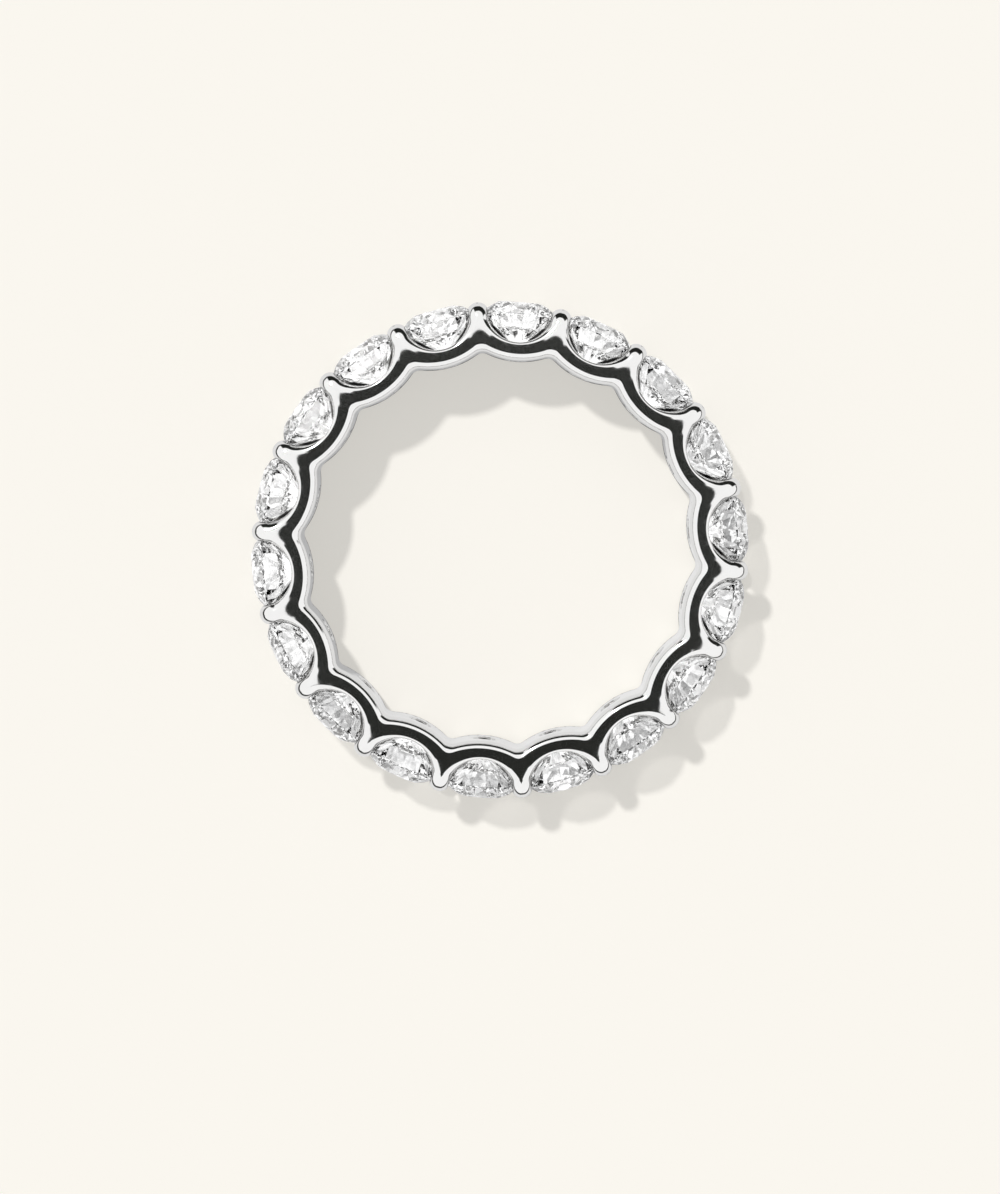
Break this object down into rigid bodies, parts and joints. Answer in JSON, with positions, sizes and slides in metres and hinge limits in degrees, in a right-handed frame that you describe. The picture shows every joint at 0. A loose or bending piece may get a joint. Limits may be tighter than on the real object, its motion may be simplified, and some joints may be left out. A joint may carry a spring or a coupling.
{
  "type": "eternity ring",
  "caption": "Full eternity ring: round brilliants in shared prongs all round a polished, scalloped white-metal band. It rests on its side.",
  "frame": {"origin": "on the finger's axis, in the plane of the flat side face that the ring rests on", "axes": "+Z along the finger, up out of the face that it rests on; +X through the middle of stone_01; +Y a quarter turn on"},
  "size_m": [0.0222, 0.0224, 0.0035],
  "materials": {
    "white_gold": "mirror-polished white gold",
    "diamond": "clear cut stone with polished facets"
  },
  "bodies": {
    "root": {"setting": "white_gold", "stone_01": "diamond", "stone_02": "diamond", "stone_03": "diamond", "stone_04": "diamond", "stone_05": "diamond", "stone_06": "diamond", "stone_07": "diamond", "stone_08": "diamond", "stone_09": "diamond", "stone_10": "diamond", "stone_11": "diamond", "stone_12": "diamond", "stone_13": "diamond", "stone_14": "diamond", "stone_15": "diamond", "stone_16": "diamond", "stone_17": "diamond", "stone_18": "diamond"}
  },
  "joints": []
}
